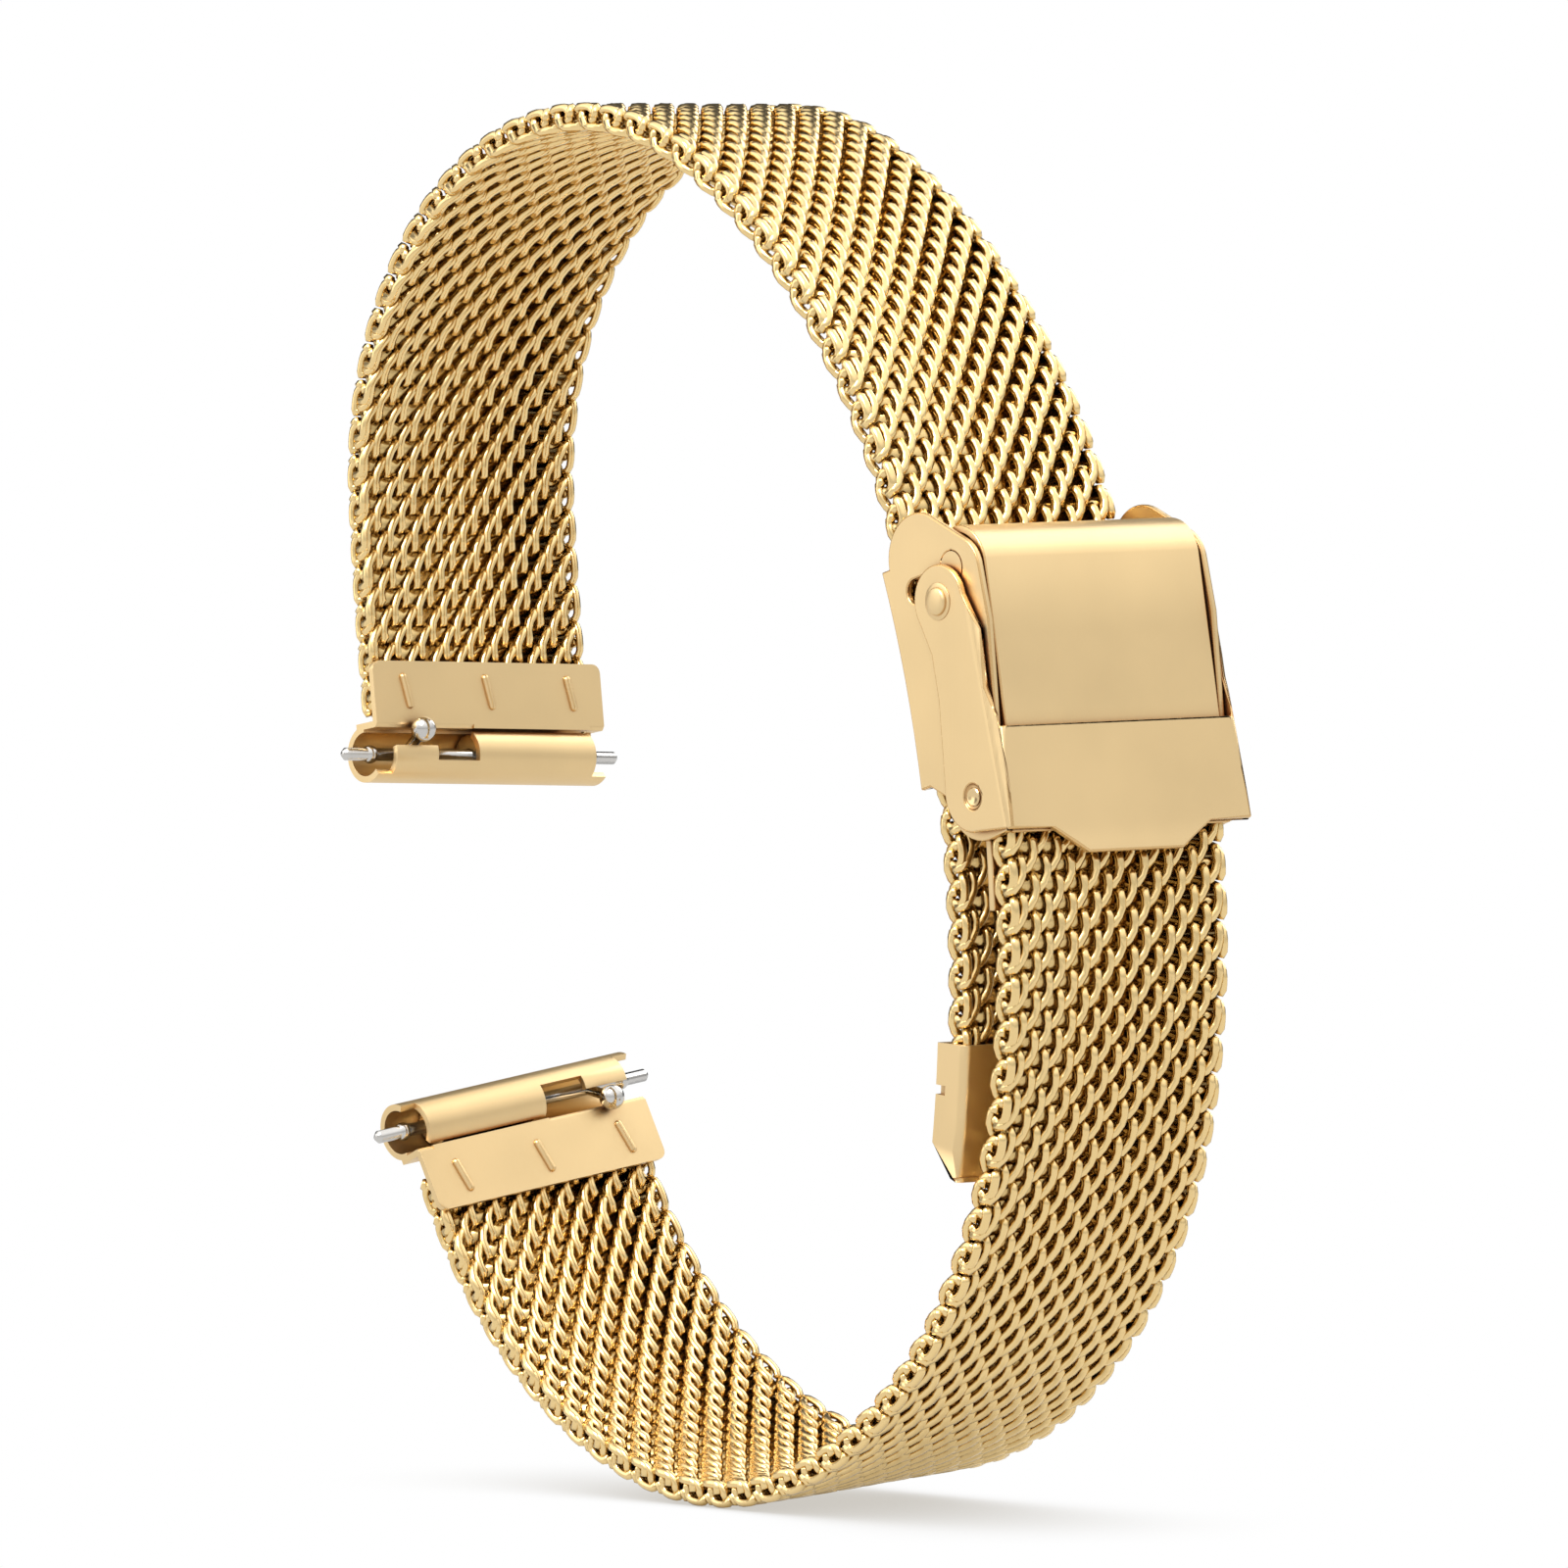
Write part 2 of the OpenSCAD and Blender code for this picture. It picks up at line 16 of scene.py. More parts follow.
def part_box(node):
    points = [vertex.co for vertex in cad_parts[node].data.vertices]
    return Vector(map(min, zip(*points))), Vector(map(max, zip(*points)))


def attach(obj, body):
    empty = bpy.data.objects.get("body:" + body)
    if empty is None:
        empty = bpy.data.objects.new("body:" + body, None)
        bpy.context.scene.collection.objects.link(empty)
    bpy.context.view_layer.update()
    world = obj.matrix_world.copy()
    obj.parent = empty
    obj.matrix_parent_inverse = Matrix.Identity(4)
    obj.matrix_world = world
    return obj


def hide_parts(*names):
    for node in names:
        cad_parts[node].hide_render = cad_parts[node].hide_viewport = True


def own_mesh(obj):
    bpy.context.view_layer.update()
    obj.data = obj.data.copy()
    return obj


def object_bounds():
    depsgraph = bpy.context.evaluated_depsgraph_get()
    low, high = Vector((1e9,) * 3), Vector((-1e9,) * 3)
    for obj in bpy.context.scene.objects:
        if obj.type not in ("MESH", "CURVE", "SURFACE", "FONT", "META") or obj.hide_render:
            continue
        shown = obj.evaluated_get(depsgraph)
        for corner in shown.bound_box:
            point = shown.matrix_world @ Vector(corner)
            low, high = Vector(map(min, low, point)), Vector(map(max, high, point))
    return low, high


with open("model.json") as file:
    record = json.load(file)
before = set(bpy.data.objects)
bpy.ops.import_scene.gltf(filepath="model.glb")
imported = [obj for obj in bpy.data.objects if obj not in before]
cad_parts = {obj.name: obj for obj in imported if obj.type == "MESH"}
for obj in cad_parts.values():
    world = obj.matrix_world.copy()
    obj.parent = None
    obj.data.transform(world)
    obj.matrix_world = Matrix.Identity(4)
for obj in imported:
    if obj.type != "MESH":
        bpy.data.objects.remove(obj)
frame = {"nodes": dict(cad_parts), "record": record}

bl_info = {
    "name": "Mesh Watch Band",
    "version": (1, 0, 0),
    "blender": (4, 5, 0),
    "location": "View3D > Sidebar > Watch Band",
    "description": "Builds the woven straps, the clasp and the stage of a mesh watch band",
    "category": "Add Mesh",
}

CAD_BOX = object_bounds()
MM = 0.001
# The clasp's middle in the CAD model's frame, in mm, and the lean of the clasp
CLASP = np.array([44.229, 1.24627, 15.6113])
TILT = math.radians(15.6)


class StrapSizes(bpy.types.PropertyGroup):
    """Sizes of the woven straps"""
    width: bpy.props.FloatProperty(name="Width", description="Width of the weave over its edge loops",
                                   default=0.015, unit="LENGTH", subtype="DISTANCE")
    thickness: bpy.props.FloatProperty(name="Thickness", description="Thickness of the weave",
                                       default=0.0017, unit="LENGTH", subtype="DISTANCE")
    row_pitch: bpy.props.FloatProperty(name="Row pitch", description="Distance from one coil row to the next",
                                       default=0.00102, unit="LENGTH", subtype="DISTANCE")
    turn_pitch: bpy.props.FloatProperty(name="Turn pitch", description="Advance of a coil per turn",
                                        default=0.0017, unit="LENGTH", subtype="DISTANCE")
    wire: bpy.props.FloatProperty(name="Wire", description="Diameter of the wire",
                                  default=0.00054, unit="LENGTH", subtype="DISTANCE")
    colour: bpy.props.FloatVectorProperty(name="Wire colour", description="Colour of the gold plated wire",
                                          default=(0.95, 0.7, 0.33), subtype="COLOR", min=0, max=1)


class MetalLooks(bpy.types.PropertyGroup):
    """Colours and edges of the sheet metal and the bars"""
    plate: bpy.props.FloatVectorProperty(name="Plate colour", description="Colour of the plated sheet",
                                         default=(0.91, 0.675, 0.355), subtype="COLOR", min=0, max=1)
    bar: bpy.props.FloatVectorProperty(name="Bar colour", description="Colour of the spring bars",
                                       default=(0.68, 0.66, 0.63), subtype="COLOR", min=0, max=1)
    edge: bpy.props.FloatProperty(name="Edge radius", description="Rounding of the pressed edges",
                                  default=0.00011, unit="LENGTH", subtype="DISTANCE")


class StageLooks(bpy.types.PropertyGroup):
    """Floor and camera"""
    floor: bpy.props.FloatVectorProperty(name="Floor colour", description="Colour of the floor",
                                         default=(1.0, 1.0, 1.0), subtype="COLOR", min=0, max=1)
    view_angle: bpy.props.FloatProperty(name="View angle", description="Field of view of the camera",
                                        default=math.radians(3.749), subtype="ANGLE")
    distance: bpy.props.FloatProperty(name="Camera distance", description="From the clasp to the camera",
                                      default=1.2744, unit="LENGTH", subtype="DISTANCE")


# Lines of the straps, in mm, as in the part's source: each run is a length and a bend
TAIL_R = 62.0
UPPER_RUNS = [(9, 1 / TAIL_R), (12, 1 / 39.1), (14, 1 / 37.2), (41, 1 / 19), (9, 1 / 138), (5.2, 0)]
LOWER_RUNS = [(7, 0), (10, -1 / (TAIL_R + 2)), (10, -1 / TAIL_R - 1 / 111), (27, -1 / 27.5), (16, -1 / 22.3),
              (19.3, -1 / 23.2), (5.2, 0)]
TAIL_RUNS = [(24.9, -1 / TAIL_R)]
# The twist of each strap over its length, and the length that stays without twist at the clasp
UPPER_TWIST, UPPER_FLAT = math.radians(-2.65), 9
LOWER_TWIST, LOWER_FLAT = math.radians(7.9), 17
# Where the hooked strap leaves the clasp, and how far it leans from it
LOWER_START, LOWER_LEAN = (4.62, 3.0), math.radians(4.4)
# How far the weave ends before a bar and before the tail's end
END_GAP, TAIL_GAP = 3.0, 0.3

# The weave's coils: turns across the strap, points a turn, and in mm the inset from the edges and the room
# under the surface
TURNS, TURN_POINTS, COIL_INSET, COIL_ROOM = 8.5, 13, 0.45, 0.06
# A coil's reach as a share of the row pitch, its bend sideways at the turns, and how flat it is pressed
COIL_REACH, COIL_BEND, COIL_PRESS = 0.96, 0.36, 3.2
# The flat wire in each row: width and depth from its middle, and how far it ends before the coil
CORE_WIDTH, CORE_DEPTH, CORE_END = 0.54, 0.2, 0.1
# The loops at the edges: inset, share of their drawn height, and radius of the wire that fills them
LINK_INSET, LINK_HEIGHT, EYE = 0.26, 0.89, 0.34
COIL_SIDES, LINK_SIDES, CORE_SIDES = 6, 7, 8
# A wire whose direction crosses Y by less than this starts along Y
ALONG_Y = 0.2

# Distances, in mm, under which points of a CAD piece are joined: on most pieces, and on those with a rim
JOIN, RIM_JOIN = 0.002, 0.035
# Angles between faces: under the first they are one face, over the others their edge is rounded, stays sharp
# on a turned piece, or may be picked for a larger radius
ONE_FACE, ROUND_OVER, SHARP_OVER, PICK_OVER = math.radians(0.6), math.radians(38), math.radians(40), 1
# Least share of a face's normal along an axis for the face to look that way
LOOKS = 0.8
# Radius of the tail tip's outer edges and of the corners of the caps' tabs, in metres
BIG_RADIUS = 0.0005
# Steps of a rounding with the large radius and with the common one
BIG_STEPS, EDGE_STEPS = 5, 3
# Least and greatest length, in mm, of the edges at the corners of a cap's tab
TAB_EDGE = (0.3, 0.4)
# Middles of the rivets and of the studs in the arms, in the clasp's frame, in mm
RIVET_AT, STUD_AT = (2.92, 3.62), (2.92, -7.0)
LATHE_SIDES = 48

# Painted shade: darker colours that the finishes take in hollows and between pieces, where shade falls
WIRE_PAINTED_SHADE, PLATE_PAINTED_SHADE, EDGE_PAINTED_SHADE = (0.42, 0.26, 0.07), (0.42, 0.19, 0.07), (0.4, 0.17, 0.06)
DARK_PAINTED_SHADE, STEEL_PAINTED_SHADE = (0.12, 0.05, 0.012), (0.12, 0.11, 0.09)
# Colour of the rounded sheet edges: a painted coppery reflection
EDGE_PAINTED_REFLECTION = (0.8, 0.53, 0.24)
# How far a finish looks for hollows, in metres, and the openness over which its painted shade fades
HOLLOW_REACH, WIRE_FADE, PLATE_FADE = 0.0009, (0.1, 0.68), (0.2, 0.95)
# Rays that look for hollows, from wire, from plate and from the floor
WIRE_RAYS, PLATE_RAYS, FLOOR_RAYS = 4, 6, 12
# Least and greatest roughness
WIRE_ROUGH, BRUSHED_ROUGH, EDGE_ROUGH, POLISHED_ROUGH, BAR_ROUGH = (
    (0.14, 0.26), (0.3, 0.46), (0.2, 0.32), (0.12, 0.2), (0.1, 0.2))
# How fine the wire's unevenness, the brushed lines and the clouds are
FINE, LINES, CLOUDS = 1500, 9000, 160
# How dark the clouds are, and the values between which they fade
CLOUD_SHADE, CLOUD_FADE = 0.92, (0.3, 0.7)
# Strength and depth, in metres, of the brushed lines
LINE_STRENGTH, LINE_DEPTH = 0.12, 0.00002
# Stretch of the brushed lines along x, y and z on sheet, on polished metal and along the bars
BRUSHED, EVEN, ALONG_BAR = (1, 1, 0.03), (1, 1, 1), (0.05, 1, 1)
# The cover plate's lean: the heights over the clasp's middle, in mm, where it starts and where it has gone
# back by its crown, in metres
CROWN_Z, CROWN = (1.2, 5.4), 0.00036

# The camera's direction from the clasp, and its shift to the left and down, in metres
VIEW_AZIMUTH, VIEW_HEIGHT = math.radians(50.2459), math.radians(3.1132)
SHIFT_LEFT, SHIFT_DOWN = 0.013489, 0.005758
# Width of the camera's sensor in mm, and the nearest and farthest that it sees in metres
SENSOR, NEAR, FAR = 36, 0.05, 20
# Half the width of the floor, in metres
FLOOR_HALF = 3.0
# Each lamp's name, place and size in metres, and power in watts
LAMPS = (("key", (0.1, -0.35, 0.5), 0.3, 2.6), ("fill", (-0.35, -0.45, 0.2), 0.4, 0.4),
         ("back", (-0.1, 0.5, 0.35), 0.4, 1.2))
LAMP_AIM = (0.02, 0, 0)
# Light of the studio: a direction, the range of nearness to it, and the brightness at both ends of the range
STUDIO_LEFT = ((-0.768, -0.638, 0), 0.4, 0.95, 0.0, 0.04)
STUDIO_ABOVE = ((0, 0, 1), 0.0, 0.8, 0.6, 1.35)
STUDIO_BEHIND = ((-0.767, 0.64, 0.05), 0.3, 0.85, 1.0, 0.08)
# Share of the studio's light that falls on what isn't a mirror
SOFT_SHARE = 0.55
# The floor's painted shadow colour, where it is most hidden, its light for other rays than the camera's, and
# what mirrors add
FLOOR_PAINTED_SHADOW, FLOOR_LIGHT, FLOOR_MIRRORED = (0.6, 0.57, 0.52), 0.5, 0.35
# How far the floor looks for what hides it, in metres, and the openness over which its painted shadow fades
FLOOR_REACH, FLOOR_FADE = 0.02, (0.0, 0.8)


def walk(start, heading, runs, roll, roll_from, out, cut, step=0.35):
    """Points, directions, ribs and outward directions along a strap, as rows of arrays, in mm

    The strap twists by roll over its length after roll_from, and its rows end at cut before the runs do. Its
    outer side lies on the side that out, 1 or -1, says.
    """
    whole = sum(r[0] for r in runs)
    till = whole - runs[-1][0]
    count = math.ceil((whole - cut) / step)
    h = (whole - cut) / count

    def bent(s):
        a = 0.0
        for length, bend in runs:
            a += bend * min(max(s, 0.0), length)
            s -= length
        return a

    def along(s):
        r = roll * max(0.0, min(s, till) - roll_from) / max(till - roll_from, 1)
        a = heading + bent(s)
        return np.array([math.cos(a), -math.sin(a) * math.sin(r), math.sin(a) * math.cos(r)]), \
            np.array([0.0, math.cos(r), math.sin(r)])
    rows, p = [], np.array(start, float)
    for i in range(count + 1):
        t, rib = along(i * h)
        rows.append((p + CLASP, t, rib, out * np.cross(rib, t)))
        p = p + h * along((i + 0.5) * h)[0]
    return rows


def clasp_point(x, z):
    """A point of the clasp's own frame, from its middle, in mm"""
    return np.array([x * math.cos(TILT) - z * math.sin(TILT), 0, x * math.sin(TILT) + z * math.cos(TILT)])


def strap_lines():
    """The longer strap from its bar to the tail's end, and the hooked strap from the clasp to its bar"""
    up, down = math.pi / 2 + TILT, TILT - math.pi / 2
    upper = walk((0, 0, 0), up, UPPER_RUNS, UPPER_TWIST, UPPER_FLAT, 1, END_GAP)
    tail = walk((0, 0, 0), down, TAIL_RUNS, 0, 0, -1, TAIL_GAP)
    lower = walk(clasp_point(*LOWER_START), down - LOWER_LEAN, LOWER_RUNS, LOWER_TWIST, LOWER_FLAT, -1,
                 END_GAP)
    back = [(p, -t, rib, out) for p, t, rib, out in upper[::-1]]
    return back[:-1] + tail, lower


def new_object(name, data):
    """An object of the scene for a mesh, a lamp or a camera"""
    obj = bpy.data.objects.new(name, data)
    bpy.context.scene.collection.objects.link(obj)
    return obj


@contextmanager
def edited(mesh):
    """A mesh opened for changes, which are written back at the end"""
    bm = bmesh.new()
    bm.from_mesh(mesh)
    yield bm
    bm.to_mesh(mesh)
    bm.free()


def smooth(mesh):
    """Shades all faces smooth"""
    for poly in mesh.polygons:
        poly.use_smooth = True


def bands(rings, sides):
    """Faces between rings of points that lie one after the other"""
    faces = []
    for i in range(rings - 1):
        for j in range(sides):
            k = (j + 1) % sides
            faces.append((i * sides + j, i * sides + k, (i + 1) * sides + k, (i + 1) * sides + j))
    return faces


def rail(name, line):
    """A line of points that carries the strap's width and outward directions"""
    mesh = bpy.data.meshes.new(name)
    mesh.from_pydata([tuple(r[0] * MM) for r in line], [(i, i + 1) for i in range(len(line) - 1)], [])
    for key, column in (("across", 2), ("outward", 3)):
        data = mesh.attributes.new(key, "FLOAT_VECTOR", "POINT").data
        data.foreach_set("vector", np.array([r[column] for r in line], np.float32).ravel())
    return new_object(name, mesh)


def tube(points, widths, depths, sides):
    """Vertices and faces of a bent wire with closed ends

    Widths lie along Y, or along X where the wire starts along Y, and depths across them. Both are half sizes.
    """
    pts = np.array(points, float)
    n = len(pts)
    tang = np.gradient(pts, axis=0)
    tang /= np.linalg.norm(tang, axis=1)[:, None]
    normal = np.cross(tang[0], [0.0, 1.0, 0.0])
    if np.linalg.norm(normal) < ALONG_Y:
        normal = np.cross(tang[0], [1.0, 0.0, 0.0])
    normal /= np.linalg.norm(normal)
    verts = []
    for i in range(n):
        normal = normal - tang[i] * (normal @ tang[i])
        normal /= np.linalg.norm(normal)
        side = np.cross(tang[i], normal)
        for j in range(sides):
            a = 2 * math.pi * j / sides
            verts.append(pts[i] + math.cos(a) * widths[i] * side + math.sin(a) * depths[i] * normal)
    first, last = range(sides), range((n - 1) * sides, n * sides)
    return verts, bands(n, sides) + [tuple(first)[::-1], tuple(last)]


def mesh_from(name, parts):
    """One mesh, in metres, from several lists of vertices in mm and faces, with its faces turned outwards"""
    verts, faces = [], []
    for v, f in parts:
        base = len(verts)
        verts += [tuple(np.asarray(p) * MM) for p in v]
        faces += [tuple(base + i for i in face) for face in f]
    mesh = bpy.data.meshes.new(name)
    mesh.from_pydata(verts, [], faces)
    with edited(mesh) as bm:
        bmesh.ops.recalc_face_normals(bm, faces=bm.faces)
    smooth(mesh)
    return mesh


def coil_row(sizes, phase):
    """One flattened coil across the strap, which starts at a phase, and the flat wire inside it"""
    pitch, rows = sizes.turn_pitch / MM, sizes.row_pitch / MM
    r = sizes.wire / MM / 2
    high = sizes.thickness / MM / 2 - r - COIL_ROOM
    half = sizes.width / MM / 2 - COIL_INSET
    count = int(TURNS * TURN_POINTS) + 1
    theta = phase + np.linspace(0, TURNS * 2 * math.pi, count)
    y = half + pitch * phase / (2 * math.pi) - pitch * theta / (2 * math.pi) + COIL_BEND * np.sin(theta) ** 3
    s = -(rows * COIL_REACH) * np.cos(theta)
    lift = high * np.tanh(COIL_PRESS * np.sin(theta)) / math.tanh(COIL_PRESS)
    widths = np.full(count, r)
    core = [(rows / 2, across, 0.0) for across in (half - CORE_END, 0.0, CORE_END - half)]
    return [tube(np.stack([s, y, lift], 1), widths, widths, COIL_SIDES),
            tube(core, [CORE_WIDTH] * 3, [CORE_DEPTH] * 3, CORE_SIDES)]


def edge_link(sizes, side):
    """The loop, the swept strip and the hidden filling wire that close two rows at one edge of the strap"""
    r = sizes.wire / MM / 2
    y = -(sizes.width / MM / 2 - LINK_INSET)
    loop = [(-0.42, y + .35, 0.28), (-0.62, y + .08, 0.36), (-0.66, y, 0.5), (-0.5, y, 0.61),
            (-0.2, y, 0.64), (0.15, y, 0.64), (0.45, y, 0.58), (0.68, y, 0.42), (0.78, y, 0.18),
            (0.76, y, -0.06), (0.66, y, -0.24), (0.56, y, -0.33)]
    girth = np.array([.8, .9, 1, 1, 1, 1, 1, 1, 1, 1.05, 1.2, .8]) * r
    strip = [(-0.30, y + .25, 0.42), (-0.32, y + .05, 0.30), (-0.30, y, 0.1), (-0.24, y, -0.15),
             (-0.1, y, -0.4), (0.15, y, -0.57), (0.5, y, -0.65), (0.9, y, -0.66), (1.25, y, -0.6),
             (1.5, y + .05, -0.48), (1.62, y + .2, -0.35)]
    wide = np.array([.75, 1.0, 1.15, 1.2, 1.1, .9, .8, .8, .8, .8, .6]) * r
    eye = [(0.12, y + 1.3, 0.05), (0.12, y + 0.5, 0.05), (0.12, y + 0.12, 0.05)]
    wires = ((loop, girth, girth), (strip, [r * .8] * len(strip), wide), (eye, [EYE] * 3, [EYE] * 3))
    placed = []
    for line, widths, depths in wires:
        verts, faces = tube(line, widths, depths, LINK_SIDES)
        placed.append(([(side * p[0], side * p[1], LINK_HEIGHT * p[2]) for p in verts], faces))
    return placed


def weave_tree():
    """Node tree that lays coil rows and edge links along a rail"""
    tree = bpy.data.node_groups.new("Woven strap", "GeometryNodeTree")
    face = tree.interface
    face.new_socket("Rail", in_out="INPUT", socket_type="NodeSocketGeometry")
    pitch = face.new_socket("Row pitch", in_out="INPUT", socket_type="NodeSocketFloat")
    pitch.default_value, pitch.min_value = 0.001, 0.0001
    for name in ("Even row", "Odd row", "Edge link"):
        face.new_socket(name, in_out="INPUT", socket_type="NodeSocketObject")
    face.new_socket("Finish", in_out="INPUT", socket_type="NodeSocketMaterial")
    face.new_socket("Strap", in_out="OUTPUT", socket_type="NodeSocketGeometry")
    nodes, links = tree.nodes, tree.links

    def add(kind, **values):
        node = nodes.new(kind)
        for key, value in values.items():
            setattr(node, key, value)
        return node
    start, end = add("NodeGroupInput"), add("NodeGroupOutput")
    curve = add("GeometryNodeMeshToCurve")
    links.new(start.outputs["Rail"], curve.inputs["Mesh"])
    points = add("GeometryNodeCurveToPoints", mode="LENGTH")
    links.new(curve.outputs["Curve"], points.inputs["Curve"])
    links.new(start.outputs["Row pitch"], points.inputs["Length"])
    axes = add("FunctionNodeAxesToRotation", primary_axis="Z", secondary_axis="Y")
    for key, socket in (("outward", 0), ("across", 1)):
        read = add("GeometryNodeInputNamedAttribute", data_type="FLOAT_VECTOR")
        read.inputs["Name"].default_value = key
        links.new(read.outputs["Attribute"], axes.inputs[socket])
    index = add("GeometryNodeInputIndex")
    odd = add("ShaderNodeMath", operation="FLOORED_MODULO")
    links.new(index.outputs[0], odd.inputs[0])
    odd.inputs[1].default_value = 2
    even = add("ShaderNodeMath", operation="SUBTRACT")
    even.inputs[0].default_value = 1
    links.new(odd.outputs[0], even.inputs[1])
    join = add("GeometryNodeJoinGeometry")
    for name, pick in (("Even row", even), ("Odd row", odd), ("Edge link", even)):
        info = add("GeometryNodeObjectInfo")
        links.new(start.outputs[name], info.inputs["Object"])
        lay = add("GeometryNodeInstanceOnPoints")
        links.new(points.outputs["Points"], lay.inputs["Points"])
        links.new(pick.outputs[0], lay.inputs["Selection"])
        links.new(info.outputs["Geometry"], lay.inputs["Instance"])
        links.new(axes.outputs[0], lay.inputs["Rotation"])
        links.new(lay.outputs["Instances"], join.inputs[0])
    real = add("GeometryNodeRealizeInstances")
    links.new(join.outputs[0], real.inputs[0])
    paint = add("GeometryNodeSetMaterial")
    links.new(real.outputs[0], paint.inputs["Geometry"])
    links.new(start.outputs["Finish"], paint.inputs["Material"])
    links.new(paint.outputs[0], end.inputs[0])
    return tree


def run_tree(obj, tree, name, **values):
    """Sets the tree's named inputs, makes its result a plain mesh at the origin and drops the modifier"""
    mod = obj.modifiers.new("Weave", "NODES")
    mod.node_group = tree
    for item in tree.interface.items_tree:
        key = item.name.replace(" ", "_").lower()
        if item.in_out == "INPUT" and key in values:
            mod[item.identifier] = values[key]
    bpy.context.view_layer.update()
    made = obj.evaluated_get(bpy.context.evaluated_depsgraph_get())
    mesh = bpy.data.meshes.new_from_object(made)
    obj.modifiers.remove(mod)
    if not len(mesh.polygons):
        raise RuntimeError(f"{name}: the weave came out empty")
    bpy.data.objects.remove(obj)
    piece = new_object(name, mesh)
    mesh.name = name
    return piece


# Finishes

def shader(name):
    """A new material with its nodes, its links and its surface"""
    mat = bpy.data.materials.new(name)
    mat.use_nodes = True
    nodes, links = mat.node_tree.nodes, mat.node_tree.links
    return mat, nodes, links, nodes["Principled BSDF"]


def noise(nodes, links, vector, scale):
    """Uneven values over a piece"""
    node = nodes.new("ShaderNodeTexNoise")
    node.inputs["Scale"].default_value = scale
    links.new(vector, node.inputs["Vector"])
    return node.outputs["Fac"]


def spread(nodes, links, value, low, high):
    """A value from 0 to 1 spread between two ends"""
    node = nodes.new("ShaderNodeMapRange")
    node.inputs["To Min"].default_value, node.inputs["To Max"].default_value = low, high
    links.new(value, node.inputs["Value"])
    return node.outputs["Result"]


def openness(nodes, reach, samples):
    """How open a place is: 0 deep in a hollow, 1 on a free face"""
    node = nodes.new("ShaderNodeAmbientOcclusion")
    node.inputs["Distance"].default_value = reach
    node.samples = samples
    return node.outputs["AO"]


def two_tones(nodes, links, value, low, high, dark, light):
    """A colour that goes from dark to light as a value goes from low to high"""
    node = nodes.new("ShaderNodeValToRGB")
    for stop, place, colour in zip(node.color_ramp.elements, (low, high), (dark, light)):
        stop.position, stop.color = place, (*colour, 1)
    links.new(value, node.inputs["Fac"])
    return node.outputs["Color"]


def wire_finish(colour):
    """Gold plated wire: warm, bright, with a faint unevenness and painted shade that darkens its crevices"""
    mat, nodes, links, surf = shader("gold_wire")
    surf.inputs["Metallic"].default_value = 1.0
    coords = nodes.new("ShaderNodeTexCoord")
    fine = noise(nodes, links, coords.outputs["Object"], FINE)
    links.new(spread(nodes, links, fine, *WIRE_ROUGH), surf.inputs["Roughness"])
    # Painted shade: the wire goes over to a darker colour where the occlusion mask finds a hollow
    free = openness(nodes, HOLLOW_REACH, WIRE_RAYS)
    links.new(two_tones(nodes, links, free, *WIRE_FADE, WIRE_PAINTED_SHADE, colour), surf.inputs["Base Color"])
    return mat


def with_painted_shade(nodes, links, colour, hollow):
    """Painted shade: a colour that goes over to a darker one in hollows and between pieces, where shade falls
    """
    depth = nodes.new("ShaderNodeMapRange")
    depth.interpolation_type = "SMOOTHSTEP"
    depth.inputs["From Min"].default_value, depth.inputs["From Max"].default_value = PLATE_FADE
    links.new(openness(nodes, HOLLOW_REACH, PLATE_RAYS), depth.inputs["Value"])
    mix = nodes.new("ShaderNodeMix")
    mix.data_type = "RGBA"
    links.new(depth.outputs["Result"], mix.inputs["Factor"])
    # The colour of the painted shade
    mix.inputs["A"].default_value = (*hollow, 1)
    links.new(colour, mix.inputs["B"])
    return mix.outputs["Result"]


def leaning_back(nodes, links, place, crown):
    """A normal that leans back more and more towards the cover plate's top edge"""
    height = nodes.new("ShaderNodeVectorMath")
    height.operation = "DOT_PRODUCT"
    links.new(place, height.inputs[0])
    height.inputs[1].default_value = (-math.sin(TILT), 0, math.cos(TILT))
    middle = (CLASP[2] * math.cos(TILT) - CLASP[0] * math.sin(TILT)) * MM
    span = nodes.new("ShaderNodeMapRange")
    span.clamp = False
    span.inputs["From Min"].default_value = middle + CROWN_Z[0] * MM
    span.inputs["From Max"].default_value = middle + CROWN_Z[1] * MM
    links.new(height.outputs["Value"], span.inputs["Value"])
    last = span.outputs["Result"]
    for operation, value in (("MAXIMUM", 0.0), ("POWER", 2.0), ("MULTIPLY", -crown)):
        step = nodes.new("ShaderNodeMath")
        step.operation = operation
        links.new(last, step.inputs[0])
        step.inputs[1].default_value = value
        last = step.outputs[0]
    lean = nodes.new("ShaderNodeBump")
    lean.inputs["Strength"].default_value, lean.inputs["Distance"].default_value = 1.0, 1.0
    links.new(last, lean.inputs["Height"])
    return lean.outputs["Normal"]


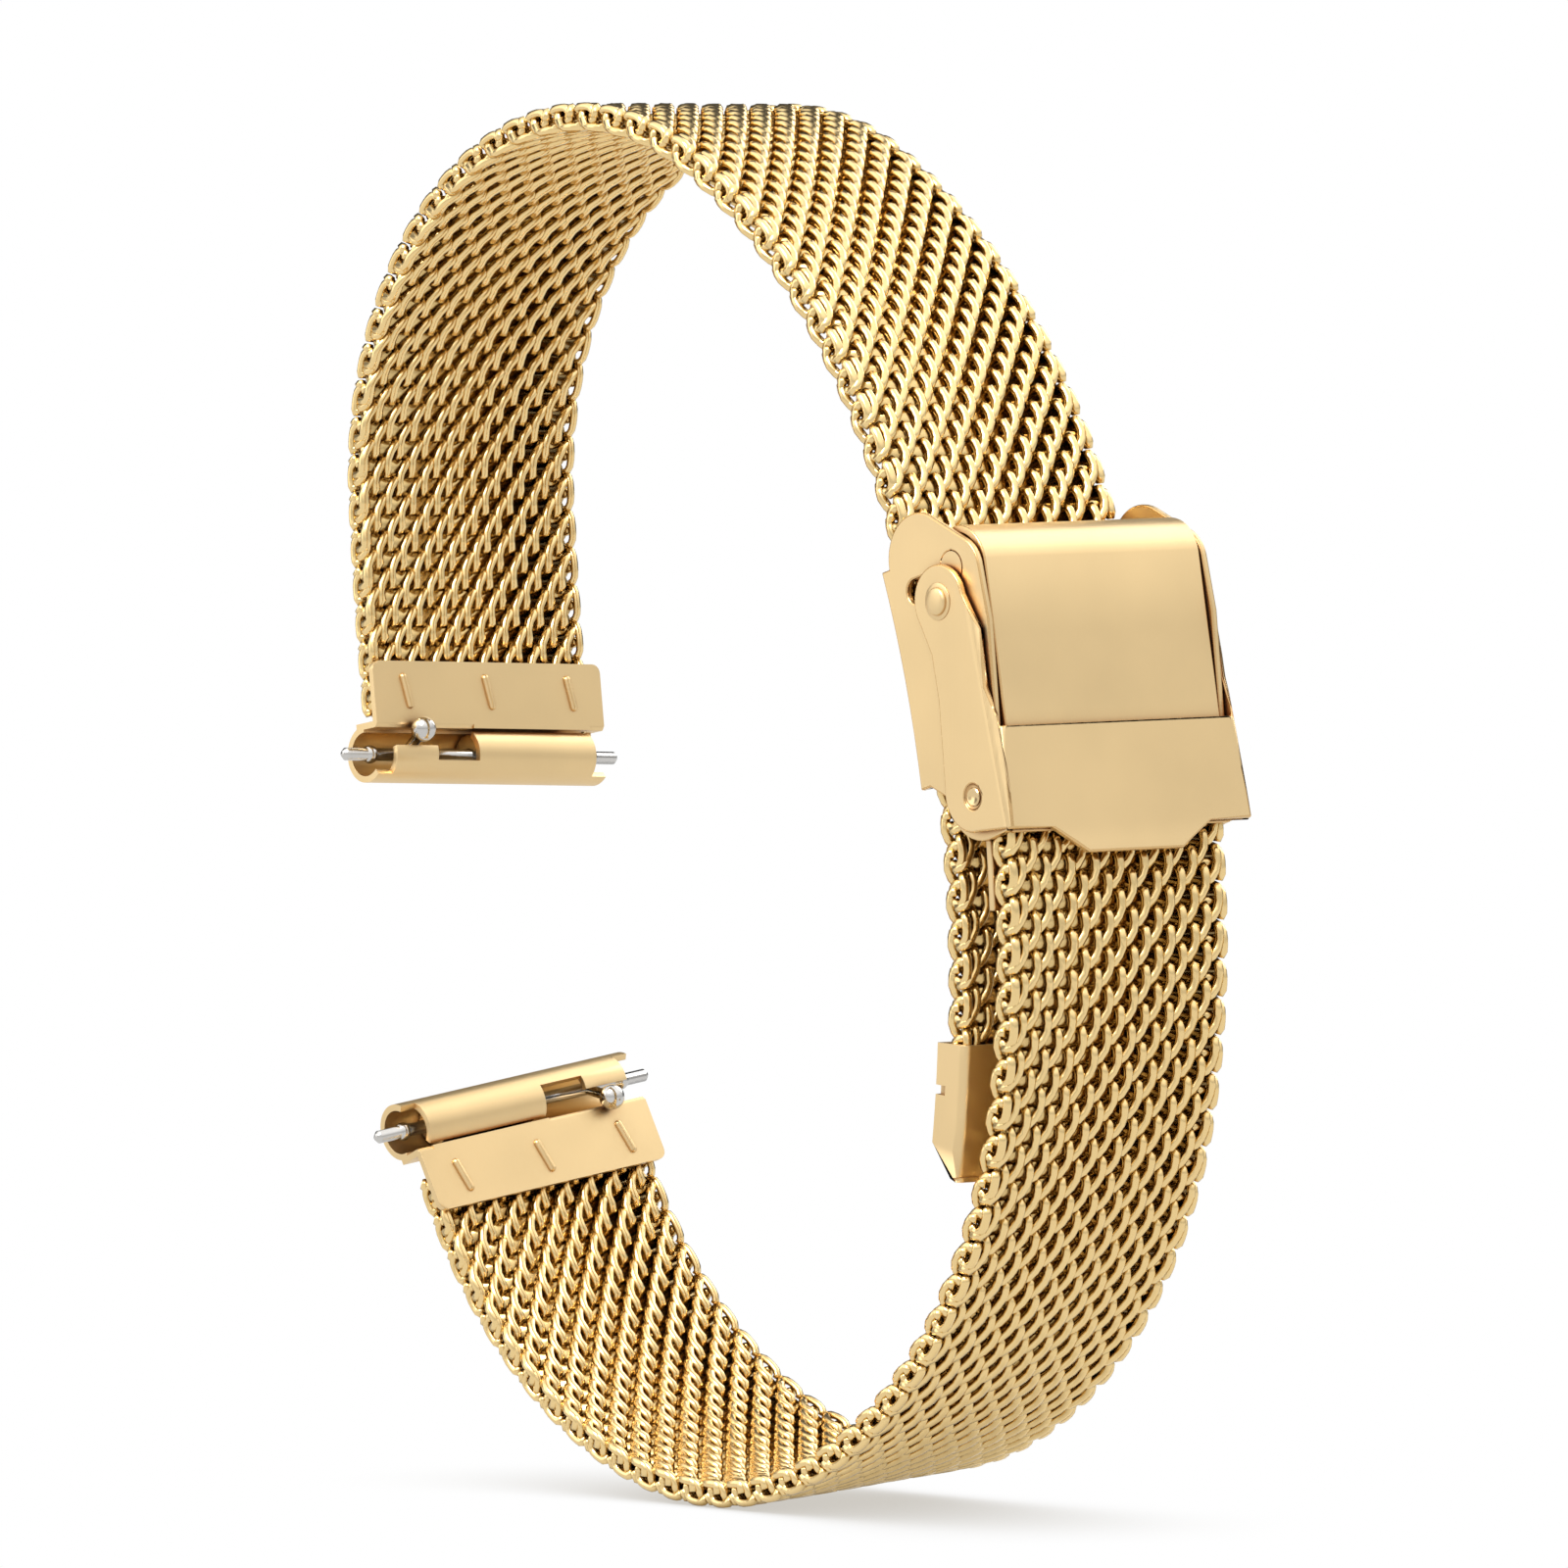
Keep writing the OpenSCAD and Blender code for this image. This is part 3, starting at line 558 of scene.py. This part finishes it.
def plate_finish(name, colour, hollow, grain=BRUSHED, rough=BRUSHED_ROUGH, crown=0.0):
    """Plating with fine lines one way, soft cloudiness and painted shade in hollows. A crown makes it lean
    back towards its top
    """
    mat, nodes, links, surf = shader(name)
    surf.inputs["Metallic"].default_value = 1.0
    place = nodes.new("ShaderNodeTexCoord").outputs["Object"]
    turn = nodes.new("ShaderNodeMapping")
    turn.inputs["Rotation"].default_value = (0, TILT, 0)
    turn.inputs["Scale"].default_value = grain
    links.new(place, turn.inputs["Vector"])
    lines = noise(nodes, links, turn.outputs["Vector"], LINES)
    cloud = noise(nodes, links, place, CLOUDS)
    links.new(spread(nodes, links, lines, *rough), surf.inputs["Roughness"])
    tone = two_tones(nodes, links, cloud, *CLOUD_FADE, [c * CLOUD_SHADE for c in colour], colour)
    # Painted shade: hollow is the darker colour mixed in where shade falls in hollows and between pieces
    links.new(with_painted_shade(nodes, links, tone, hollow), surf.inputs["Base Color"])
    bump = nodes.new("ShaderNodeBump")
    bump.inputs["Strength"].default_value = LINE_STRENGTH
    bump.inputs["Distance"].default_value = LINE_DEPTH
    links.new(lines, bump.inputs["Height"])
    links.new(bump.outputs["Normal"], surf.inputs["Normal"])
    if crown:
        links.new(leaning_back(nodes, links, place, crown), bump.inputs["Normal"])
    return mat


FINISH = {}


def finish(name):
    """Makes each finish once"""
    if name not in FINISH:
        plate, bar = (tuple(getattr(bpy.context.scene.band_metal, key)) for key in ("plate", "bar"))
        # Each finish's second colour is its painted shade; the edge finish's own colour is a painted coppery
        # reflection
        plates = {
            "gold_plate": (plate, PLATE_PAINTED_SHADE),
            "gold_cover": (plate, PLATE_PAINTED_SHADE, BRUSHED, BRUSHED_ROUGH, CROWN),
            "gold_edge": (EDGE_PAINTED_REFLECTION, EDGE_PAINTED_SHADE, EVEN, EDGE_ROUGH),
            "gold_polished": (plate, DARK_PAINTED_SHADE, EVEN, POLISHED_ROUGH),
            "bar_steel": (bar, STEEL_PAINTED_SHADE, ALONG_BAR, BAR_ROUGH),
        }
        if name == "gold_wire":
            FINISH[name] = wire_finish(tuple(bpy.context.scene.band_strap.colour))
        else:
            FINISH[name] = plate_finish(name, *plates[name])
    return FINISH[name]


def softened(node, width, chosen=None, radius=0.0, rim=None):
    """A copy of a CAD sheet piece with rounded edges and flat faces that are shaded flat

    The edges that chosen picks get a larger radius, and rim names a finish for all rounded edges; the edge
    finish paints a coppery reflection and shade on them.
    """
    mesh = frame["nodes"][node].data.copy()
    with edited(mesh) as bm:
        bmesh.ops.remove_doubles(bm, verts=bm.verts, dist=(RIM_JOIN if rim else JOIN) * MM)
        bmesh.ops.dissolve_limit(bm, angle_limit=ONE_FACE, verts=bm.verts, edges=bm.edges)
        if chosen:
            sharp = [e for e in bm.edges if e.is_manifold and e.calc_face_angle() > PICK_OVER]
            bmesh.ops.bevel(bm, geom=chosen(sharp), offset=radius, segments=BIG_STEPS, profile=0.5,
                            affect="EDGES")
    mesh.materials.clear()
    smooth(mesh)
    piece = new_object("soft_" + node, mesh)
    bevel = piece.modifiers.new("Edges", "BEVEL")
    bevel.width, bevel.segments, bevel.limit_method = width, EDGE_STEPS, "ANGLE"
    bevel.angle_limit = ROUND_OVER
    bevel.use_clamp_overlap = not rim
    if rim:
        mesh.materials.append(finish(rim))
        mesh.materials.append(finish(rim))
        bevel.material = 1
    level = piece.modifiers.new("Level", "WEIGHTED_NORMAL")
    level.mode, level.weight, level.keep_sharp = "FACE_AREA", 100, False
    bpy.context.view_layer.update()
    made = bpy.data.meshes.new_from_object(piece.evaluated_get(bpy.context.evaluated_depsgraph_get()))
    piece.modifiers.clear()
    piece.data = made
    return piece


def body_of(node):
    """Name of the moving body that a CAD piece belongs to"""
    for name, members in frame["record"]["behaviour"]["bodies"].items():
        if node in members:
            return name
    raise RuntimeError(f"no body holds {node}")


def outer_long(edges):
    """Edges between the outer face of the tail tip and its two sides"""
    found = []
    for edge in edges:
        a, b = (face.normal for face in edge.link_faces)
        if max(a.x, b.x) > LOOKS and max(abs(a.y), abs(b.y)) > LOOKS:
            found.append(edge)
    return found


def tab_corners(away):
    """Picks the two corner edges of a cap's tab, farthest from the bar along a direction"""
    def pick(edges):
        short = [e for e in edges if TAB_EDGE[0] * MM < e.calc_length() < TAB_EDGE[1] * MM]
        reach = [((e.verts[0].co + e.verts[1].co) / 2).dot(away) for e in short]
        return [e for e, far in zip(short, reach) if far > max(reach) - TAB_EDGE[0] * MM]
    return pick


def rounded(node):
    """A copy of a turned CAD piece, shaded smooth all round with its sharp corners kept"""
    mesh = frame["nodes"][node].data.copy()
    with edited(mesh) as bm:
        bmesh.ops.remove_doubles(bm, verts=bm.verts, dist=JOIN * MM)
    mesh.materials.clear()
    smooth(mesh)
    mesh.set_sharp_from_angle(angle=SHARP_OVER)
    return new_object("round_" + node, mesh)


def turned(name, centre, side, profile):
    """A piece turned on a lathe, its axis along Y from a point of the clasp, from radii and heights in mm"""
    x, z = centre
    verts = []
    for radius, out in profile:
        for j in range(LATHE_SIDES):
            a = 2 * math.pi * j / LATHE_SIDES
            p = clasp_point(x + radius * math.cos(a), z + radius * math.sin(a))
            verts.append((p[0] + CLASP[0], CLASP[1] + side * out, p[2] + CLASP[2]))
    ends = [tuple(range(LATHE_SIDES)), tuple(range(len(verts) - LATHE_SIDES, len(verts)))]
    mesh = mesh_from(name, [(verts, bands(len(profile), LATHE_SIDES) + ends)])
    mesh.set_sharp_from_angle(angle=SHARP_OVER)
    return new_object(name, mesh)


def stands_for(piece, node, look):
    """Gives a piece its finish and lets it ride in a CAD piece's place"""
    if len(piece.data.materials):
        piece.data.materials[0] = finish(look)
    else:
        piece.data.materials.append(finish(look))
    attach(piece, body_of(node))
    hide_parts(node)


def plated_as_is(node, look):
    """Gives a CAD piece that keeps its own shape a finish"""
    materials = frame["nodes"][node].data.materials
    materials.clear()
    materials.append(finish(look))


def shortening_spring(end):
    """A bar's spring with a mesh of its own, riding with the spring's body. The real spring shortens along
    the bar as its tip is drawn in
    """
    piece = rounded(end + "_spring")
    stands_for(piece, end + "_spring", "bar_steel")
    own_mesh(piece)


def rivet_profile(low, face):
    """Radii and heights, in mm, of a shank, a thin washer on the arm's face and a slightly crowned head"""
    return [(0.5, low), (0.5, face), (1.0, face), (1.0, face + 0.03), (0.96, face + 0.06),
            (0.75, face + 0.07), (0.74, face + 0.16), (0.7, face + 0.22), (0.63, face + 0.26),
            (0.4, face + 0.29), (0.2, face + 0.305), (0.02, face + 0.31)]


def stud_profile(face):
    """Radii and heights, in mm, of a stud that fills an arm's dimple and is hollow in its middle"""
    return [(0.5, face - 0.14), (0.5, face - 0.06), (0.44, face), (0.34, face - 0.01), (0.24, face - 0.07),
            (0.04, face - 0.09)]


class BAND_OT_straps(bpy.types.Operator):
    """Weaves both straps from coil rows and edge links"""
    bl_idname = "band.straps"
    bl_label = "Woven straps"

    def execute(self, context):
        sizes = context.scene.band_strap
        even = new_object("even_row", mesh_from("even_row", coil_row(sizes, 0.0)))
        odd = new_object("odd_row", mesh_from("odd_row", coil_row(sizes, math.pi)))
        link = new_object("edge_link", mesh_from("edge_link", edge_link(sizes, 1) + edge_link(sizes, -1)))
        tree = weave_tree()
        straps = (("longer_strap", "upper_mesh"), ("hooked_strap_weave", "lower_mesh"))
        for (name, node), line in zip(straps, strap_lines()):
            piece = run_tree(rail(name + "_rail", line), tree, name, row_pitch=sizes.row_pitch, even_row=even,
                             odd_row=odd, edge_link=link, finish=finish("gold_wire"))
            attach(piece, body_of(node))
            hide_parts(node)
        for tool in (even, odd, link):
            bpy.data.objects.remove(tool)
        return {"FINISHED"}


class BAND_OT_sheet(bpy.types.Operator):
    """Softens and plates the pressed sheet pieces, and turns the rivets and the studs of the arms"""
    bl_idname = "band.sheet"
    bl_label = "Sheet metal"

    def execute(self, context):
        edge = context.scene.band_metal.edge
        sheets = (("clasp_frame", "gold_plate", "gold_edge"), ("hook_plate", "gold_cover", "gold_edge"),
                  ("clamp_plate", "gold_plate", None), ("lock_plate", "gold_plate", None))
        for node, look, rim in sheets:
            stands_for(softened(node, edge, rim=rim), node, look)
        longer, hooked = strap_lines()
        for node, away in (("upper_cap", Vector(longer[0][1])), ("lower_cap", -Vector(hooked[-1][1]))):
            stands_for(softened(node, edge, tab_corners(away), BIG_RADIUS), node, "gold_plate")
        stands_for(softened("catch", edge, rim="gold_edge"), "catch", "gold_plate")
        stands_for(softened("tail_tip", edge, outer_long, BIG_RADIUS), "tail_tip", "gold_plate")
        for side, hand in ((-1, "left"), (1, "right")):
            low = min(abs(v[1] / MM - CLASP[1]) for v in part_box("rivet_" + hand))
            face = max(abs(v[1] / MM - CLASP[1]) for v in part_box("catch"))
            rivet = turned("rivet_head_" + hand, RIVET_AT, side, rivet_profile(low, face))
            stands_for(rivet, "rivet_" + hand, "gold_plate")
            stud = turned(f"arm_stud_{hand}", STUD_AT, side, stud_profile(face))
            stud.data.materials.append(finish("gold_polished"))
            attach(stud, body_of("catch"))
        for node in ("hook_bar", "lock_pin"):
            plated_as_is(node, "gold_plate")
        return {"FINISHED"}


class BAND_OT_bars(bpy.types.Operator):
    """Finishes the quick release spring bars"""
    bl_idname = "band.bars"
    bl_label = "Spring bars"

    def execute(self, context):
        for end in ("upper", "lower"):
            for part in ("fixed_tip", "release_tip"):
                stands_for(rounded(f"{end}_{part}"), f"{end}_{part}", "bar_steel")
            plated_as_is(f"{end}_barrel", "bar_steel")
            shortening_spring(end)
        return {"FINISHED"}


class BAND_OT_stage(bpy.types.Operator):
    """Sets up the floor, the lamps and the camera"""
    bl_idname = "band.stage"
    bl_label = "Stage and camera"

    def execute(self, context):
        looks = context.scene.band_stage
        low = CAD_BOX[0][2]
        mesh = bpy.data.meshes.new("floor")
        corners = [(x * FLOOR_HALF, y * FLOOR_HALF, low) for x, y in ((-1, -1), (1, -1), (1, 1), (-1, 1))]
        mesh.from_pydata(corners, [], [(0, 1, 2, 3)])
        floor = new_object("floor", mesh)
        floor.data.materials.append(floor_finish(tuple(looks.floor)))
        scene = context.scene
        scene.world = studio_world()
        scene.camera = studio_camera(looks)
        for name, spot, size, power in LAMPS:
            lamp = bpy.data.lights.new(name, "AREA")
            lamp.size, lamp.energy = size, power
            obj = new_object(name, lamp)
            obj.location = spot
            obj.rotation_euler = (Vector(LAMP_AIM) - Vector(spot)).to_track_quat("-Z", "Y").to_euler()
        scene.view_settings.view_transform = "Standard"
        return {"FINISHED"}


def studio_camera(looks):
    """The camera at the photograph's viewing angle"""
    az, el = VIEW_AZIMUTH, VIEW_HEIGHT
    toward = Vector((math.sin(az) * math.cos(el), -math.cos(az) * math.cos(el), math.sin(el)))
    right = Vector((math.cos(az), math.sin(az), 0))
    up = right.cross(-toward)
    data = bpy.data.cameras.new("camera")
    data.sensor_width = SENSOR
    data.lens = SENSOR / 2 / math.tan(looks.view_angle / 2)
    data.clip_start, data.clip_end = NEAR, FAR
    camera = new_object("camera", data)
    camera.location = Vector(CLASP * MM) + toward * looks.distance - right * SHIFT_LEFT - up * SHIFT_DOWN
    camera.rotation_euler = Matrix((right, up, toward)).transposed().to_euler()
    return camera


def studio_world():
    """White to the camera. Metal meets light from above, and little from the left and from behind the band"""
    world = bpy.data.worlds.new("studio")
    world.use_nodes = True
    nodes, links = world.node_tree.nodes, world.node_tree.links
    way = nodes.new("ShaderNodeTexCoord")

    def share(axis, low, high, start, end):
        """Brightness that goes from start to end as a direction turns towards an axis"""
        dot = nodes.new("ShaderNodeVectorMath")
        dot.operation = "DOT_PRODUCT"
        links.new(way.outputs["Generated"], dot.inputs[0])
        dot.inputs[1].default_value = axis
        span = nodes.new("ShaderNodeMapRange")
        span.interpolation_type = "SMOOTHSTEP"
        links.new(dot.outputs["Value"], span.inputs["Value"])
        for key, value in (("From Min", low), ("From Max", high), ("To Min", start), ("To Max", end)):
            span.inputs[key].default_value = value
        return span.outputs["Result"]

    def joined(operation, a, b):
        """Two values, each a number or a node's output, put together by one operation"""
        node = nodes.new("ShaderNodeMath")
        node.operation = operation
        for socket, value in zip(node.inputs, (a, b)):
            if isinstance(value, float):
                socket.default_value = value
            else:
                links.new(value, socket)
        return node.outputs[0]
    lit_air = joined("ADD", share(*STUDIO_LEFT), share(*STUDIO_ABOVE))
    studio = joined("MULTIPLY", lit_air, share(*STUDIO_BEHIND))
    path = nodes.new("ShaderNodeLightPath")
    lit = nodes.new("ShaderNodeMix")
    links.new(path.outputs["Is Glossy Ray"], lit.inputs["Factor"])
    links.new(joined("MULTIPLY", studio, SOFT_SHARE), lit.inputs["A"])
    links.new(studio, lit.inputs["B"])
    links.new(joined("MAXIMUM", lit.outputs["Result"], path.outputs["Is Camera Ray"]),
              nodes["Background"].inputs["Strength"])
    nodes["Background"].inputs["Color"].default_value = (1, 1, 1, 1)
    return world


def floor_finish(colour):
    """White paper that glows evenly, with a painted shadow where the object keeps light from it, and that
    shows brighter in mirrors
    """
    mat, nodes, links, surf = shader("white_paper")
    nodes.remove(surf)
    path = nodes.new("ShaderNodeLightPath")
    shine = nodes.new("ShaderNodeMath")
    shine.operation = "MULTIPLY_ADD"
    links.new(path.outputs["Is Glossy Ray"], shine.inputs[0])
    shine.inputs[1].default_value = FLOOR_MIRRORED
    links.new(spread(nodes, links, path.outputs["Is Camera Ray"], FLOOR_LIGHT, 1.0), shine.inputs[2])
    glow = nodes.new("ShaderNodeEmission")
    free = openness(nodes, FLOOR_REACH, FLOOR_RAYS)
    # Painted shadow: the paper goes over to a darker colour where the object hides it from the open
    paper = two_tones(nodes, links, free, *FLOOR_FADE, FLOOR_PAINTED_SHADOW, colour)
    links.new(paper, glow.inputs["Color"])
    links.new(shine.outputs[0], glow.inputs["Strength"])
    links.new(glow.outputs[0], nodes["Material Output"].inputs["Surface"])
    return mat


class BAND_PT_panel(bpy.types.Panel):
    """Shows the band's sizes and looks, with a button for each group of pieces and for the stage"""
    bl_idname = "BAND_PT_panel"
    bl_label = "Watch Band"
    bl_space_type = "VIEW_3D"
    bl_region_type = "UI"
    bl_category = "Watch Band"

    def draw(self, context):
        scene = context.scene
        for group in (scene.band_strap, scene.band_metal, scene.band_stage):
            box = self.layout.box()
            for key in group.bl_rna.properties.keys():
                if key not in ("rna_type", "name"):
                    box.prop(group, key)
        for kind in OPERATORS:
            self.layout.operator(kind.bl_idname)


OPERATORS = (BAND_OT_stage, BAND_OT_straps, BAND_OT_sheet, BAND_OT_bars)
GROUPS = (("band_strap", StrapSizes), ("band_metal", MetalLooks), ("band_stage", StageLooks))


def register():
    """Adds the sizes, the operators and the panel"""
    for key, group in GROUPS:
        bpy.utils.register_class(group)
        setattr(bpy.types.Scene, key, bpy.props.PointerProperty(type=group))
    for kind in (*OPERATORS, BAND_PT_panel):
        bpy.utils.register_class(kind)


def unregister():
    """Takes the panel, the operators and the sizes out again"""
    for kind in (BAND_PT_panel, *reversed(OPERATORS)):
        bpy.utils.unregister_class(kind)
    for key, group in reversed(GROUPS):
        delattr(bpy.types.Scene, key)
        bpy.utils.unregister_class(group)


def main():
    """Builds the whole scene"""
    register()
    bpy.ops.band.stage()
    bpy.ops.band.straps()
    bpy.ops.band.sheet()
    bpy.ops.band.bars()


if __name__ == "__main__":
    main()
